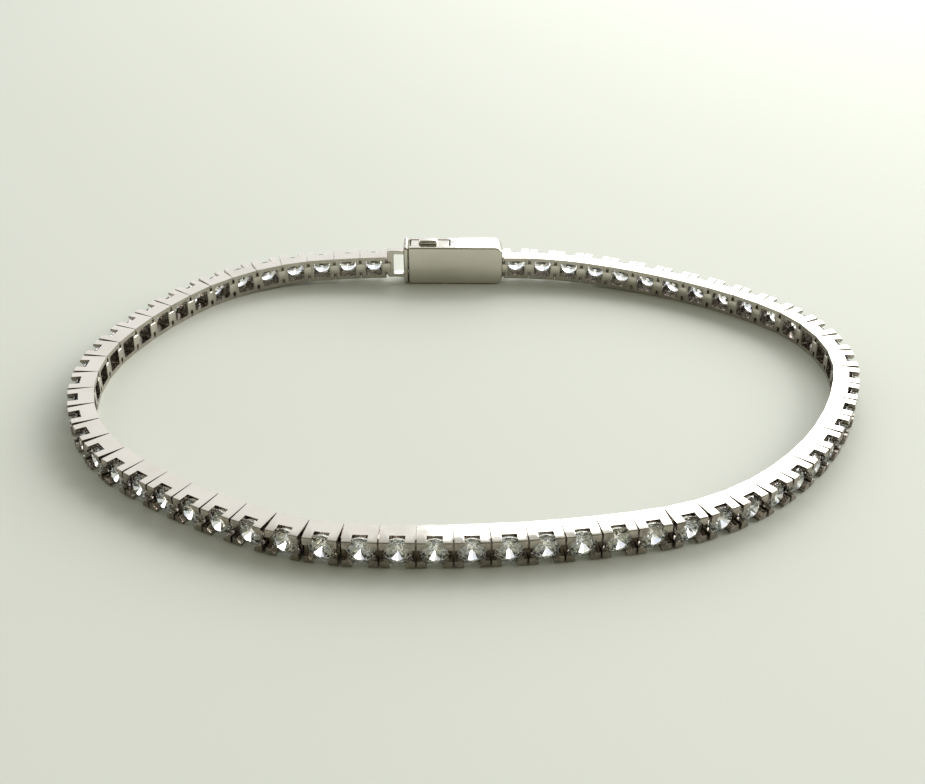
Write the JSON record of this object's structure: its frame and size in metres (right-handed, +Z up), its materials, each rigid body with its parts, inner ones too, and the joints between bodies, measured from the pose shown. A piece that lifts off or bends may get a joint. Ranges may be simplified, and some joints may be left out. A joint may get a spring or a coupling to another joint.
{
  "type": "tennis bracelet",
  "caption": "Closed oval chain of square collets, each set with a round stone, joined by a box clasp with a thumb press; it lies on a table.",
  "frame": {"origin": "middle of the bracelet's outer box, on the surface that it lies on", "axes": "+X along the longer way of the loop, +Y towards the clasp, +Z up"},
  "size_m": [0.0736, 0.0518, 0.0047],
  "materials": {
    "white_gold": "polished white gold",
    "stone": "clear, brilliant cut"
  },
  "bodies": {
    "bracelet": {"links_1": "white_gold", "links_2": "white_gold", "links_3": "white_gold", "links_4": "white_gold", "links_5": "white_gold", "links_6": "white_gold", "links_7": "white_gold", "links_8": "white_gold", "clasp_box": "white_gold", "clasp_tongue": "white_gold"},
    "catch": {"thumb_catch": "white_gold"}
  },
  "joints": [
    {"name": "thumb_press", "type": "hinge", "parent": "bracelet", "child": "catch", "pos_m": [0.00113, 0.02446, 0.0014], "axis": [0, -1, 0], "range_deg": [0, 4], "stiffness_Nm_per_rad": 0.1}
  ]
}
